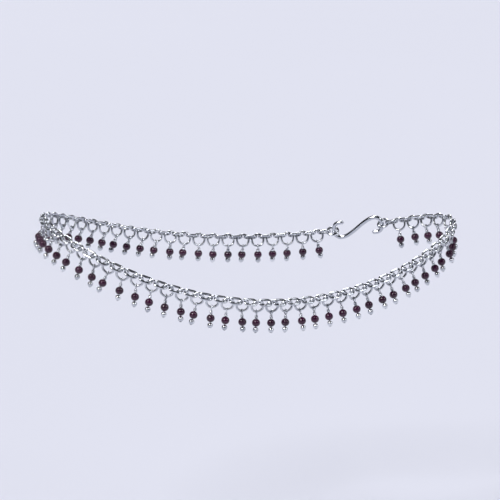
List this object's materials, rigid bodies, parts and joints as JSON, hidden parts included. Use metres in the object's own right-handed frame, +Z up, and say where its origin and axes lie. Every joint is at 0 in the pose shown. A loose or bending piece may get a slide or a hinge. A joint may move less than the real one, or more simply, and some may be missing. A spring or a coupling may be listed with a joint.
{
  "type": "payal anklet",
  "caption": "Silver payal anklet: fine link chain in a worn oval loop, hung all round with garnet beads and silver balls, closed by an S hook.",
  "frame": {"origin": "middle of the loop, where the ankle passes through it", "axes": "+Z up the leg, +X towards the heel, -X towards the toes, -Y towards the wearer's inner ankle"},
  "size_m": [0.108, 0.0584, 0.0252],
  "materials": {
    "silver": "polished sterling silver, a little dulled in the recesses",
    "garnet": "dark purple-red garnet, polished like glass"
  },
  "bodies": {
    "root": {"chain": "silver", "hanger_rings_outer_side": "silver", "hanger_rings_front": "silver", "hanger_rings_inner_side": "silver", "hanger_rings_back": "silver", "garnet_beads_outer_side": "garnet", "garnet_beads_front": "garnet", "garnet_beads_inner_side": "garnet", "garnet_beads_back": "garnet", "silver_balls_outer_side": "silver", "silver_balls_front": "silver", "silver_balls_inner_side": "silver", "silver_balls_back": "silver", "clasp_hook": "silver", "end_ring_outer_side": "silver", "end_ring_back": "silver"}
  },
  "joints": []
}
